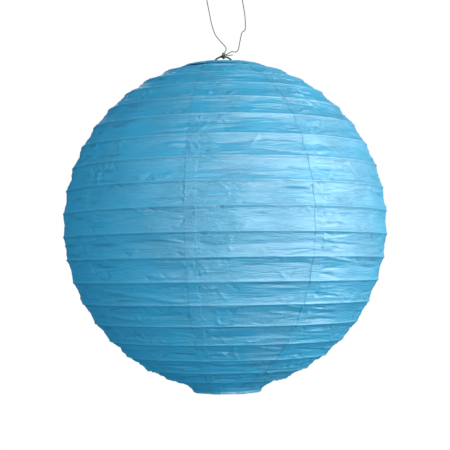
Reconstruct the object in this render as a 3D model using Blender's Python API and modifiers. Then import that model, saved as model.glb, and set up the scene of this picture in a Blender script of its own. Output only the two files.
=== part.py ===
"""A round paper lantern on a cord loop, held open by a bent-wire expander.

Metres, +Z up. The origin is the top of the cord loop, where the lantern hangs
from a nail or hook, and -Y is the front. Nineteen rib hoops and two rim hoops
carry eight pasted paper gores. Inside, a crossbar holds the top rim up and two
sprung legs, hung on it by coiled eyes, press the bottom rim down.
"""
import math

import bpy
from mathutils import Vector

# Driving sizes of the shade
SHADE_RADIUS = 0.175  # centre line of the hoop ellipse at its widest
SHADE_HALF_HEIGHT = 0.178  # the ellipse's upright half axis
RIB_COUNT = 19
RIB_WIRE = 0.0010
TOP_RIM_RADIUS = 0.0423
LAST_RIB_RADIUS = 0.0423
BOTTOM_RIM_RADIUS = 0.0355
BOTTOM_RIM_DROP = 0.0068  # from the last rib down to the bottom rim
RIM_WIRE = 0.0016

# Paper
GORE_COUNT = 8
FIRST_SEAM = math.radians(-9.5)  # measured from the front towards +X
PAPER_THICKNESS = 0.0002
PAPER_OVERLAP = 0.0105  # the pasted strip along each seam
PASTE_STEP = 0.0020  # where a gore comes down beside the strip it covers
GORE_PANELS = 4  # flat panels across a gore, without its pasted strips

# Expander and its hanging arch
EXPANDER_WIRE = 0.0018
ARCH_RADIUS = 0.012
ARCH_FLARE = 0.003  # bend between the arch and each arm
SEAT_LIP = 0.0010  # how far an arm reaches out under the top rim
LEG_INSET = 0.0075  # from the bottom rim's centre line in to a leg's
EYE_TURNS = 2
LEG_SWEEP = 0.020  # height in which a leg swings in from its eye
FOOT_RISE = 0.012  # height above the bottom rim where the foot begins
FOOT_FLANK = 0.0050  # upper side of the foot's notch, the lower is shorter
FOOT_TIP = 0.0028
BEND_RADIUS = 0.0015

# Cord
HANG_DROP = 0.105  # from the origin down to the arch
CORD_DIAMETER = 0.0011
CORD_POINT_COUNT = 72
KNOT_WIDTH = 0.0020

# Clearances
FIT_GAP = 0.0003
EYE_CLEARANCE = 0.0004

HOOP_SEGMENTS = 32
HOOP_SIDES = 5

# The cord's route in metres: left end at the knot, up over the loop's top at
# the origin, and down to the right end at the knot.
CORD_ROUTE = (
    (0.0008, -0.0003, -0.1015),
    (0.0021, -0.0006, -0.0999),
    (0.0032, -0.0008, -0.0980),
    (0.0033, -0.0008, -0.0958),
    (0.0020, -0.0008, -0.0935),
    (-0.0009, -0.0007, -0.0902),
    (-0.0053, -0.0005, -0.0850),
    (-0.0086, -0.0003, -0.0802),
    (-0.0110, 0.0000, -0.0730),
    (-0.0129, 0.0000, -0.0656),
    (-0.0145, 0.0000, -0.0567),
    (-0.0166, 0.0000, -0.0456),
    (-0.0174, 0.0000, -0.0380),
    (-0.0170, 0.0000, -0.0300),
    (-0.0148, 0.0000, -0.0215),
    (-0.0108, 0.0000, -0.0128),
    (-0.0065, 0.0000, -0.0058),
    (-0.0031, 0.0000, -0.0014),
    (0.0000, 0.0000, 0.0000),
    (0.0034, 0.0000, -0.0016),
    (0.0076, 0.0000, -0.0064),
    (0.0126, 0.0000, -0.0135),
    (0.0170, 0.0000, -0.0215),
    (0.0198, 0.0000, -0.0300),
    (0.0213, 0.0000, -0.0380),
    (0.0223, 0.0000, -0.0456),
    (0.0237, 0.0000, -0.0543),
    (0.0247, 0.0000, -0.0630),
    (0.0248, 0.0002, -0.0705),
    (0.0248, 0.0003, -0.0738),
    (0.0240, 0.0004, -0.0761),
    (0.0222, 0.0004, -0.0774),
    (0.0208, 0.0004, -0.0790),
    (0.0201, 0.0004, -0.0814),
    (0.0194, 0.0005, -0.0850),
    (0.0183, 0.0005, -0.0900),
    (0.0174, 0.0006, -0.0948),
    (0.0165, 0.0007, -0.0976),
    (0.0148, 0.0008, -0.0995),
    (0.0126, 0.0008, -0.0999),
    (0.0105, 0.0008, -0.0993),
    (0.0087, 0.0008, -0.0997),
    (0.0070, 0.0007, -0.1008),
    (0.0052, 0.0006, -0.1018),
    (0.0034, 0.0005, -0.1026),
    (0.0017, 0.0004, -0.1031),
)

# Places that follow from the sizes
ARM_Z = -HANG_DROP - ARCH_RADIUS
TOP_LATITUDE = math.acos(TOP_RIM_RADIUS / SHADE_RADIUS)
LAST_LATITUDE = -math.acos(LAST_RIB_RADIUS / SHADE_RADIUS)
CENTRE_Z = ARM_Z - SHADE_HALF_HEIGHT * math.sin(TOP_LATITUDE)
LEG_X = BOTTOM_RIM_RADIUS - LEG_INSET
SEAT_REACH = RIM_WIRE / 2 + EXPANDER_WIRE / 2 + FIT_GAP

COLOURS = {
    "paper": ((0.045, 0.330, 0.560), 0.75, 0.0),
    "rib_wire": ((0.55, 0.57, 0.58), 0.40, 1.0),
    "expander_wire": ((0.42, 0.43, 0.44), 0.35, 1.0),
    "cord": ((0.075, 0.110, 0.050), 0.85, 0.0),
}


def clear_scene():
    for old in list(bpy.data.objects):
        bpy.data.objects.remove(old, do_unlink=True)


def make_collection(name):
    group = bpy.data.collections.new(name)
    bpy.context.scene.collection.children.link(group)
    return group


def make_material(node, kind):
    colour, roughness, metallic = COLOURS[kind]
    material = bpy.data.materials.new(node)
    material.use_nodes = True
    shader = material.node_tree.nodes["Principled BSDF"]
    shader.inputs["Base Color"].default_value = (*colour, 1.0)
    shader.inputs["Roughness"].default_value = roughness
    shader.inputs["Metallic"].default_value = metallic
    material.diffuse_color = (*colour, 1.0)
    return material


def adopt(obj, name, kind, group):
    """Name a new object, give it its material and put it in the lantern's collection."""
    obj.name = name
    obj.data.name = name
    obj.data.materials.clear()
    obj.data.materials.append(make_material(name, kind))
    for holder in list(obj.users_collection):
        holder.objects.unlink(obj)
    group.objects.link(obj)
    return obj


def make_empty(name, place, group):
    empty = bpy.data.objects.new(name, None)
    empty.empty_display_size = 0.01
    empty.location = place
    group.objects.link(empty)
    return empty


def hang_under(obj, empty):
    """Parent obj to empty without moving it."""
    bpy.context.view_layer.update()
    obj.parent = empty
    obj.matrix_parent_inverse = empty.matrix_world.inverted()


def make_wire(name, points, diameter, sides_level, kind, group):
    """A round wire or cord: an open poly curve through world points."""
    curve = bpy.data.curves.new(name, "CURVE")
    curve.dimensions = "3D"
    curve.bevel_depth = diameter / 2
    curve.bevel_resolution = sides_level
    curve.use_fill_caps = True
    spline = curve.splines.new("POLY")
    spline.points.add(len(points) - 1)
    for slot, point in zip(spline.points, points):
        slot.co = (*point, 1.0)
    return adopt(bpy.data.objects.new(name, curve), name, kind, group)


def arc(centre, radius, start, end, steps):
    """Points (x, z) on an arc, both ends included, angles from +X towards +Z."""
    turns = [start + (end - start) * step / steps for step in range(steps + 1)]
    return [
        (centre[0] + radius * math.cos(turn), centre[1] + radius * math.sin(turn))
        for turn in turns
    ]


def bend_corners(points, radius, steps=3):
    """Replace each corner of an open path with an arc of the given radius."""
    path = [Vector(points[0])]
    for before, corner, after in zip(points, points[1:], points[2:]):
        corner = Vector(corner)
        back = (Vector(before) - corner).normalized()
        ahead = (Vector(after) - corner).normalized()
        half_inner = back.angle(ahead) / 2
        run = radius / math.tan(half_inner)
        middle = corner + (back + ahead).normalized() * radius / math.sin(half_inner)
        first = corner + back * run - middle
        last = corner + ahead * run - middle
        for step in range(steps + 1):
            path.append(middle + first.slerp(last, step / steps) * radius)
    path.append(Vector(points[-1]))
    return path


def smooth_route(route, count):
    """Read count evenly spaced points from a smooth curve through the route."""
    knots = [Vector(point) for point in route]
    padded = [2 * knots[0] - knots[1], *knots, 2 * knots[-1] - knots[-2]]
    fine = []
    for p0, p1, p2, p3 in zip(padded, padded[1:], padded[2:], padded[3:]):
        for step in range(12):
            t = step / 12
            fine.append(
                0.5
                * (
                    2 * p1
                    + (p2 - p0) * t
                    + (2 * p0 - 5 * p1 + 4 * p2 - p3) * t**2
                    + (3 * p1 - p0 - 3 * p2 + p3) * t**3
                )
            )
    fine.append(knots[-1])
    travelled = [0.0]
    for here, there in zip(fine, fine[1:]):
        travelled.append(travelled[-1] + (there - here).length)
    even = []
    piece = 0
    for number in range(count):
        target = travelled[-1] * number / (count - 1)
        while piece < len(fine) - 2 and travelled[piece + 1] < target:
            piece += 1
        stretch = travelled[piece + 1] - travelled[piece]
        share = (target - travelled[piece]) / stretch
        even.append(fine[piece].lerp(fine[piece + 1], share))
    return even


def shade_hoops():
    """Every hoop from the top down: (name, radius, height, wire)."""
    hoops = [("top_rim_ring", TOP_RIM_RADIUS, ARM_Z, RIM_WIRE)]
    pitch = (TOP_LATITUDE - LAST_LATITUDE) / RIB_COUNT
    for number in range(1, RIB_COUNT + 1):
        latitude = TOP_LATITUDE - pitch * number
        radius = SHADE_RADIUS * math.cos(latitude)
        height = CENTRE_Z + SHADE_HALF_HEIGHT * math.sin(latitude)
        hoops.append((f"rib_ring_{number:02d}", radius, height, RIB_WIRE))
    bottom = hoops[-1][2] - BOTTOM_RIM_DROP
    hoops.append(("bottom_rim_ring", BOTTOM_RIM_RADIUS, bottom, RIM_WIRE))
    return hoops


def outward_slopes(hoops):
    """For each hoop, the outward direction (radial, up) square to the shade."""
    slopes = []
    last = len(hoops) - 1
    for place in range(len(hoops)):
        above = hoops[max(place - 1, 0)]
        below = hoops[min(place + 1, last)]
        run = below[1] - above[1]
        rise = below[2] - above[2]
        length = math.hypot(run, rise)
        slopes.append((-rise / length, run / length))
    return slopes


def gore_columns(radius):
    """Angles from a gore's seam and whether each column lies on its neighbour."""
    width = math.tau / GORE_COUNT
    strip = PAPER_OVERLAP / radius
    step = PASTE_STEP / radius
    panel = (width - strip - step) / GORE_PANELS
    columns = [(-strip, True), (0.0, True)]
    columns += [(step + panel * number, False) for number in range(GORE_PANELS + 1)]
    columns.append((width - FIT_GAP / radius, False))
    return columns


def make_hoop(name, radius, height, wire, group):
    bpy.ops.mesh.primitive_torus_add(
        location=(0, 0, height),
        major_radius=radius,
        minor_radius=wire / 2,
        major_segments=HOOP_SEGMENTS,
        minor_segments=HOOP_SIDES,
    )
    hoop = adopt(bpy.context.object, name, "rib_wire", group)
    hoop.data.shade_smooth()
    return hoop


def make_gore(number, hoops, slopes, group):
    """One gore: a flat grid wrapped over the hoops, then given its thickness."""
    seam = FIRST_SEAM + math.tau * (number - 1) / GORE_COUNT
    column_count = len(gore_columns(SHADE_RADIUS))
    bpy.ops.mesh.primitive_grid_add(
        x_subdivisions=column_count - 1, y_subdivisions=len(hoops) - 1, size=1
    )
    gore = adopt(bpy.context.object, f"paper_gore_{number}", "paper", group)
    across = sorted({round(vertex.co.x, 5) for vertex in gore.data.vertices})
    down = sorted({round(vertex.co.y, 5) for vertex in gore.data.vertices}, reverse=True)
    for vertex in gore.data.vertices:
        column = across.index(round(vertex.co.x, 5))
        row = down.index(round(vertex.co.y, 5))
        _, radius, height, wire = hoops[row]
        columns = gore_columns(radius)
        turn, on_neighbour = columns[column]
        widest = max(b[0] - a[0] for a, b in zip(columns, columns[1:]))
        off = wire / 2 + FIT_GAP + PAPER_THICKNESS / 2
        if on_neighbour:
            off += PAPER_THICKNESS + FIT_GAP
        reach = (radius + slopes[row][0] * off) / math.cos(widest / 2)
        around = seam + turn
        vertex.co.x = reach * math.sin(around)
        vertex.co.y = -reach * math.cos(around)
        vertex.co.z = height + slopes[row][1] * off
    thickness = gore.modifiers.new("Paper", "SOLIDIFY")
    thickness.thickness = PAPER_THICKNESS
    thickness.offset = 0
    gore.data.shade_smooth()
    return gore


def crossbar_path():
    """The whole crossbar in (x, z) from its left tip to its right tip."""
    flare_x = math.sqrt((ARCH_RADIUS + ARCH_FLARE) ** 2 - ARCH_FLARE**2)
    touch = math.atan2(ARCH_FLARE, flare_x)
    half = arc((0, ARM_Z), ARCH_RADIUS, math.pi / 2, touch, 8)
    flare_centre = (flare_x, ARM_Z + ARCH_FLARE)
    half += arc(flare_centre, ARCH_FLARE, math.pi + touch, 1.5 * math.pi, 4)[1:]
    seat_start = TOP_RIM_RADIUS - 3 * SEAT_REACH
    seat_depth = SEAT_REACH * 1.03
    for step in range(7):
        share = step / 6
        fall = seat_depth * (1 - math.cos(math.pi * share)) / 2
        half.append((seat_start + 3 * SEAT_REACH * share, ARM_Z - fall))
    half.append((TOP_RIM_RADIUS + SEAT_LIP, ARM_Z - seat_depth))
    mirrored = [(-x, z) for x, z in reversed(half[1:])]
    return mirrored + half


def make_crossbar(group):
    points = [(x, 0.0, z) for x, z in crossbar_path()]
    return make_wire(
        "expander_crossbar", points, EXPANDER_WIRE, 1, "expander_wire", group
    )


def leg_path(bottom_z):
    """The right leg: coiled eye round the arm, long shank, notched foot."""
    eye_radius = EXPANDER_WIRE + EYE_CLEARANCE
    eye_length = EYE_TURNS * (EXPANDER_WIRE + FIT_GAP)
    steps = EYE_TURNS * 12
    eye = []
    for step in range(steps + 1):
        share = step / steps
        turn = math.tau * EYE_TURNS * (1 - share)
        eye.append(
            (
                LEG_X + eye_length * (share - 0.5),
                -eye_radius * math.cos(turn),
                ARM_Z + eye_radius * math.sin(turn),
            )
        )
    notch_x = BOTTOM_RIM_RADIUS - SEAT_REACH * 1.02 * math.sqrt(2)
    flank = FOOT_FLANK / math.sqrt(2)
    tip = FOOT_TIP / math.sqrt(2)
    shank = [
        eye[-1],
        (LEG_X + eye_length / 2, -eye_radius, ARM_Z - BEND_RADIUS * 2),
        (LEG_X, 0.0, ARM_Z - LEG_SWEEP),
        (LEG_X, 0.0, bottom_z + FOOT_RISE),
        (notch_x + flank, 0.0, bottom_z + flank),
        (notch_x, 0.0, bottom_z),
        (notch_x + tip, 0.0, bottom_z - tip),
    ]
    return eye[:-1] + bend_corners(shank, BEND_RADIUS)


def make_leg(side, bottom_z, group):
    """A leg on its pivot, the left one being the right one turned half round."""
    sign = 1 if side == "right" else -1
    points = [(sign * x, sign * y, z) for x, y, z in leg_path(bottom_z)]
    name = f"expander_leg_{side}"
    leg = make_wire(name, points, EXPANDER_WIRE, 1, "expander_wire", group)
    pivot = make_empty(f"{side}_leg_pivot", (sign * LEG_X, 0, ARM_Z), group)
    hang_under(leg, pivot)
    return pivot


def make_knot(group):
    """The knot's outer shape: a fat ring of cord round the arch's top."""
    bpy.ops.mesh.primitive_torus_add(
        location=(0, 0, -HANG_DROP),
        rotation=(0, math.pi / 2, 0),
        major_radius=EXPANDER_WIRE / 2 + FIT_GAP + KNOT_WIDTH / 2,
        minor_radius=KNOT_WIDTH / 2,
        major_segments=20,
        minor_segments=8,
    )
    knot = adopt(bpy.context.object, "cord_knot", "cord", group)
    knot.data.shade_smooth()
    return knot


def make_cord(group):
    points = smooth_route(CORD_ROUTE, CORD_POINT_COUNT)
    return make_wire("hanging_cord", points, CORD_DIAMETER, 2, "cord", group)


def make_lantern():
    clear_scene()
    group = make_collection("paper_lantern")
    hoops = shade_hoops()
    slopes = outward_slopes(hoops)

    make_cord(group)
    knot = make_knot(group)
    swing = make_empty("swing_pivot", (0, 0, -HANG_DROP), group)
    hang_under(knot, swing)

    hangs = [make_crossbar(group)]
    hangs += [make_leg(side, hoops[-1][2], group) for side in ("left", "right")]
    hangs += [make_hoop(*hoop, group) for hoop in hoops]
    hangs += [
        make_gore(number, hoops, slopes, group) for number in range(1, GORE_COUNT + 1)
    ]
    for piece in hangs:
        hang_under(piece, swing)


make_lantern()
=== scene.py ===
# %% [markdown]
# # A round paper lantern
#
# A lantern like this is a stack of wire hoops in a skin of thin paper. Eight spindle-shaped
# strips of paper, the gores, are pasted over the hoops and over each other's edges. A sprung
# wire inside, the expander, pushes the top and bottom rims apart, and a loop of twine hangs
# the lot. The plain working model of all this is loaded first as a frame. It fixes every size
# and place, and this file dresses it: wrinkled paper, bent wires, twisted twine.

# %% Load the frame
import math
from collections import namedtuple

import bpy
import numpy as np
from mathutils import Matrix, Vector


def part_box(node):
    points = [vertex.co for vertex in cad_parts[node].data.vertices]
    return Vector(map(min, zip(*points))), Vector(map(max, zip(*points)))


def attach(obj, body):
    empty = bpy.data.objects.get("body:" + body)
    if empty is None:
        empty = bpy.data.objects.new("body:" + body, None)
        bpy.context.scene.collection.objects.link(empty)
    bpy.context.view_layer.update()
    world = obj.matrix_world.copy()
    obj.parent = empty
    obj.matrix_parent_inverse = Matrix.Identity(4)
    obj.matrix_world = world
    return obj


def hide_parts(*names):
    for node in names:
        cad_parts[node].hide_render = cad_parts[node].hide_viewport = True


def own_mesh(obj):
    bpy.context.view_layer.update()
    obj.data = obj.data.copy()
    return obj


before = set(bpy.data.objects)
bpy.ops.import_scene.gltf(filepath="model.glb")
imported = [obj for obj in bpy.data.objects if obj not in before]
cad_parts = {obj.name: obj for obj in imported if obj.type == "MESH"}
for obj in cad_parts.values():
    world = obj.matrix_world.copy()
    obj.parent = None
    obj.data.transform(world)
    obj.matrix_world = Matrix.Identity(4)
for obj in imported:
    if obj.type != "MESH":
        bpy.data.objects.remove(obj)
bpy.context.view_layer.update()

# %% [markdown]
# Everything follows the hoops, so they are measured once. The frame's plain hoops have five
# flat sides. Their height is therefore a little less than the wire's thickness, and dividing
# by the sine of a fifth of a turn gives the thickness back. Sizes are in metres, as in the
# frame, and small ones are written in millimetres times MM.

# %% Measure the hoops
MM = 0.001
FLAT_SIDES = 5
RIB_NAMES = [f"rib_ring_{number:02d}" for number in range(1, 20)]
HOOP_NAMES = ["top_rim_ring", *RIB_NAMES, "bottom_rim_ring"]
Hoop = namedtuple("Hoop", "name radius height wire")


def measure_hoop(name):
    low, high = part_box(name)
    wire = (high[2] - low[2]) / math.sin(math.tau / FLAT_SIDES)
    return Hoop(name, high[0] - wire / 2, (high[2] + low[2]) / 2, wire)


hoops = [measure_hoop(name) for name in HOOP_NAMES]
top_rim, bottom_rim = hoops[0], hoops[-1]
widest = max(hoops, key=lambda hoop: hoop.radius)
print(f"{len(hoops)} hoops, the widest is {2000 * widest.radius:.0f} mm across")

# %% [markdown]
# ## Camera, lights and floor
#
# The lantern hangs about 1.4 m in front of the camera and a little above it, so the camera
# looks up by some two degrees and sees the lantern in a long lens. The lantern hangs plumb and
# the camera leans by two thirds of a degree, which is easier than leaning thirty pieces.

# %% Place the camera
CAMERA_DISTANCE = 1.39
CAMERA_DROP = 0.0546
CAMERA_LENS = 102.0
CAMERA_ROLL = math.radians(-0.65)
middle = Vector((0, 0, (top_rim.height + hoops[-2].height) / 2))


def aim(obj, target, roll=0.0):
    """Turn a camera or lamp so that it looks along its -Z at the target."""
    bpy.context.view_layer.update()
    look = (Vector(target) - obj.location).to_track_quat("-Z", "Y").to_matrix()
    obj.rotation_euler = (look @ Matrix.Rotation(roll, 3, "Z")).to_euler()


bpy.ops.object.camera_add(location=(0, -CAMERA_DISTANCE, middle.z - CAMERA_DROP))
camera = bpy.context.object
camera.data.lens = CAMERA_LENS
camera.data.sensor_width = 36.0
aim(camera, middle, CAMERA_ROLL)
bpy.context.scene.camera = camera
print("camera at", [round(value, 3) for value in camera.location])

# %% [markdown]
# Thin coloured paper has a soft white veil where it faces a lamp, and shows its own deep blue
# elsewhere. So the lamps are soft panels, weak on the left and strong on the right, and the
# light that comes from all round adds hardly any veil. All the panels stand equally far off.
# One at the back keeps that side from going flat, and hardly reaches the front.

# %% Light the room
LAMP_DISTANCE = 2.4
LAMP_WIDTH = 0.8
LAMPS = (
    # name, direction from the front in degrees, height in degrees, panel height, power
    ("left_lamp", -50, 18, 0.7, 2.0),
    ("front_lamp", -12, 14, 0.5, 9.5),
    ("right_lamp", 24, 10, 0.5, 14.0),
    ("high_lamp", 52, 28, 0.5, 12.0),
    ("low_lamp", 40, -12, 0.5, 4.0),
    ("side_lamp", 76, 2, 0.5, 15.0),
    ("edge_lamp", 96, 16, 0.7, 12.0),
    ("back_lamp", 184, 24, 0.7, 16.0),
)


def add_lamp(name, around, above, tall, power):
    """A soft panel at the lamps' distance, turned to the middle of the shade."""
    around, above = math.radians(around), math.radians(above)
    level = LAMP_DISTANCE * math.cos(above)
    rise = LAMP_DISTANCE * math.sin(above)
    place = Vector((level * math.sin(around), -level * math.cos(around), rise))
    bpy.ops.object.light_add(type="AREA", location=middle + place)
    lamp = bpy.context.object
    lamp.name = name
    lamp.data.shape = "RECTANGLE"
    lamp.data.size = LAMP_WIDTH
    lamp.data.size_y = tall
    lamp.data.energy = power
    aim(lamp, middle)


for lamp_values in LAMPS:
    add_lamp(*lamp_values)
print(len(LAMPS), "soft lamps")

# %% [markdown]
# Materials and the backdrop are built from nodes, and writing each node out takes several
# lines. These helpers add a node with its inputs in one line, and start and end a material.

# %% Helpers for nodes


def add_node(tree, kind, inputs=None, **settings):
    """Add a shader node. Inputs are sockets to link or plain values to set."""
    made = tree.nodes.new(kind)
    for name, value in settings.items():
        setattr(made, name, value)
    for name, value in (inputs or {}).items():
        if isinstance(value, bpy.types.NodeSocket):
            tree.links.new(value, made.inputs[name])
        else:
            made.inputs[name].default_value = value
    return made


def new_material(name):
    """A material with an empty tree."""
    material = bpy.data.materials.new(name)
    material.use_nodes = True
    material.node_tree.nodes.clear()
    return material, material.node_tree


def finish_material(tree, shader):
    """Send the shader out as the material's surface."""
    add_node(tree, "ShaderNodeOutputMaterial", {"Surface": shader.outputs[0]})


print("node helpers ready")

# %% [markdown]
# The backdrop is plain white to the eye. A fully white room would also wash out the paper from
# every side, so the camera sees white, matt surfaces are lit by a cool daylight, and glossy
# reflections see a nearly dark room.

# %% Light the room from all round
DAYLIGHT = (0.15, 0.57, 0.80, 1)
DARK_ROOM = 0.004


def light_the_world():
    """White to the camera, cool daylight on matt surfaces, nearly dark in reflections."""
    world = bpy.data.worlds.new("studio")
    world.use_nodes = True
    tree = world.node_tree
    tree.nodes.clear()
    path = add_node(tree, "ShaderNodeLightPath")
    matt = add_node(tree, "ShaderNodeBackground", {"Color": DAYLIGHT, "Strength": 1.0})
    gloss = add_node(tree, "ShaderNodeBackground", {"Color": (1, 1, 1, 1), "Strength": DARK_ROOM})
    seen = add_node(tree, "ShaderNodeBackground", {"Color": (1, 1, 1, 1), "Strength": 1.0})
    lit = {0: path.outputs["Is Diffuse Ray"], 1: gloss.outputs[0], 2: matt.outputs[0]}
    room = add_node(tree, "ShaderNodeMixShader", lit)
    sources = {0: path.outputs["Is Camera Ray"], 1: room.outputs[0], 2: seen.outputs[0]}
    mixed = add_node(tree, "ShaderNodeMixShader", sources)
    add_node(tree, "ShaderNodeOutputWorld", {"Surface": mixed.outputs[0]})
    bpy.context.scene.world = world


light_the_world()
bpy.context.scene.view_settings.view_transform = "Standard"
print("white backdrop, daylight", DAYLIGHT[:3])

# %% [markdown]
# The floor is a pale disc well below the lantern. It sends no light up to the paper, and a
# little glow of its own evens out the cool daylight on it.

# %% Lay the floor
FLOOR_HEIGHT = -0.95
FLOOR_RADIUS = 1.2
FLOOR_THICKNESS = 0.02
FLOOR_TONES = ((0.78, 0.78, 0.77, 1), (0.84, 0.84, 0.84, 1))
FLOOR_WARMTH = (0.50, 0.17, 0.00, 1)  # makes up for the cool daylight


def make_floor():
    """A pale disc with faint clouds, which is not part of the lantern."""
    bpy.ops.mesh.primitive_cylinder_add(
        vertices=96,
        radius=FLOOR_RADIUS,
        depth=FLOOR_THICKNESS,
        location=(0, 0, FLOOR_HEIGHT - FLOOR_THICKNESS / 2),
    )
    floor = bpy.context.object
    floor.name = "studio_floor"
    bpy.ops.object.transform_apply(location=True, rotation=True, scale=True)
    material, tree = new_material("pale_floor")
    place = add_node(tree, "ShaderNodeTexCoord").outputs["Object"]
    cloud = add_node(tree, "ShaderNodeTexNoise", {"Vector": place, "Scale": 3.0, "Detail": 4.0})
    tone = add_node(tree, "ShaderNodeMix", data_type="RGBA")
    tree.links.new(cloud.outputs["Fac"], tone.inputs["Factor"])
    tone.inputs[6].default_value = FLOOR_TONES[0]
    tone.inputs[7].default_value = FLOOR_TONES[1]
    surface = {"Base Color": tone.outputs[2], "Roughness": 0.8}
    shader = add_node(tree, "ShaderNodeBsdfPrincipled", surface)
    shader.inputs["Emission Color"].default_value = FLOOR_WARMTH
    shader.inputs["Emission Strength"].default_value = 1.0
    finish_material(tree, shader)
    floor.data.materials.append(material)
    floor.visible_glossy = floor.visible_diffuse = floor.visible_transmission = False


make_floor()
print("floor at", FLOOR_HEIGHT)

# %% [markdown]
# ## The twine
#
# The hanging loop is limp garden twine, about a millimetre thick, spun from two plies. A round
# tube would look like bent wire. The twine is therefore swept from a cross-section with two
# lobes that turns steadily as it goes, which is just what twisting two plies does. Its route
# is a list of points, the same as in the working model: up from the knot on the left, over the
# top, where a nail would hold it, and down on the right, with the kinks that old twine keeps.

# %% The cord's route
CORD_DIAMETER = 1.1 * MM
CORD_ROUTE = (
    (0.0008, -0.0003, -0.1015),
    (0.0021, -0.0006, -0.0999),
    (0.0032, -0.0008, -0.0980),
    (0.0033, -0.0008, -0.0958),
    (0.0020, -0.0008, -0.0935),
    (-0.0009, -0.0007, -0.0902),
    (-0.0053, -0.0005, -0.0850),
    (-0.0086, -0.0003, -0.0802),
    (-0.0110, 0.0000, -0.0730),
    (-0.0129, 0.0000, -0.0656),
    (-0.0145, 0.0000, -0.0567),
    (-0.0166, 0.0000, -0.0456),
    (-0.0174, 0.0000, -0.0380),
    (-0.0170, 0.0000, -0.0300),
    (-0.0148, 0.0000, -0.0215),
    (-0.0108, 0.0000, -0.0128),
    (-0.0065, 0.0000, -0.0058),
    (-0.0031, 0.0000, -0.0014),
    (0.0000, 0.0000, 0.0000),
    (0.0034, 0.0000, -0.0016),
    (0.0076, 0.0000, -0.0064),
    (0.0126, 0.0000, -0.0135),
    (0.0170, 0.0000, -0.0215),
    (0.0198, 0.0000, -0.0300),
    (0.0213, 0.0000, -0.0380),
    (0.0223, 0.0000, -0.0456),
    (0.0237, 0.0000, -0.0543),
    (0.0247, 0.0000, -0.0630),
    (0.0248, 0.0002, -0.0705),
    (0.0248, 0.0003, -0.0738),
    (0.0240, 0.0004, -0.0761),
    (0.0222, 0.0004, -0.0774),
    (0.0208, 0.0004, -0.0790),
    (0.0201, 0.0004, -0.0814),
    (0.0194, 0.0005, -0.0850),
    (0.0183, 0.0005, -0.0900),
    (0.0174, 0.0006, -0.0948),
    (0.0165, 0.0007, -0.0976),
    (0.0148, 0.0008, -0.0995),
    (0.0126, 0.0008, -0.0999),
    (0.0105, 0.0008, -0.0993),
    (0.0087, 0.0008, -0.0997),
    (0.0070, 0.0007, -0.1008),
    (0.0052, 0.0006, -0.1018),
    (0.0034, 0.0005, -0.1026),
    (0.0017, 0.0004, -0.1031),
)


def smooth_route(route, spacing):
    """Evenly spaced points on a smooth curve through the route's points."""
    knots = [np.array(point, float) for point in route]
    knots = [2 * knots[0] - knots[1], *knots, 2 * knots[-1] - knots[-2]]
    share = np.linspace(0, 1, 24, endpoint=False)[:, None]
    fine = []
    for p0, p1, p2, p3 in zip(knots, knots[1:], knots[2:], knots[3:]):
        bend = (2 * p0 - 5 * p1 + 4 * p2 - p3) * share**2
        twist = (3 * p1 - p0 - 3 * p2 + p3) * share**3
        fine.append(0.5 * (2 * p1 + (p2 - p0) * share + bend + twist))
    fine = np.vstack([*fine, knots[-2][None]])
    run = np.concatenate([[0], np.cumsum(np.linalg.norm(np.diff(fine, axis=0), axis=1))])
    even = np.linspace(0, run[-1], max(2, round(run[-1] / spacing)) + 1)
    return np.stack([np.interp(even, run, fine[:, axis]) for axis in range(3)], axis=1), run[-1]


cord_path, cord_length = smooth_route(CORD_ROUTE, 0.4 * MM)
print(f"the cord is {cord_length * 1000:.0f} mm from knot to knot")

# %% [markdown]
# A swept tube needs a frame at each point that does not spin about the path by itself, or the
# plies would bunch up at bends. Each frame here is the last one, turned by the least amount
# that follows the path. The twist of the plies is then added on purpose.

# %% Sweep the twine
PLY_LAY = 3.4 * MM  # length in which the plies make one full turn
TWINE_SIDES = 14
LOBE = 0.17  # how deep the groove between the plies is, as a share of the radius


def carried_frames(path):
    """Two unit vectors across the path at each point, carried along without spin."""
    along = np.gradient(path, axis=0)
    along /= np.linalg.norm(along, axis=1)[:, None]
    start = np.cross(along[0], (0.0, 1.0, 0.0))
    if np.linalg.norm(start) < 0.1:
        start = np.cross(along[0], (1.0, 0.0, 0.0))
    across = [start / np.linalg.norm(start)]
    for here in along[1:]:
        kept = across[-1] - here * (across[-1] @ here)
        across.append(kept / np.linalg.norm(kept))
    across = np.array(across)
    return across, np.cross(along, across)


def mesh_piece(name, vertices, faces):
    """A new mesh object from vertices and faces, shaded smooth."""
    mesh = bpy.data.meshes.new(name)
    mesh.from_pydata([tuple(vertex) for vertex in vertices], [], faces)
    mesh.validate()
    mesh.shade_smooth()
    piece = bpy.data.objects.new(name, mesh)
    bpy.context.scene.collection.objects.link(piece)
    return piece


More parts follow.
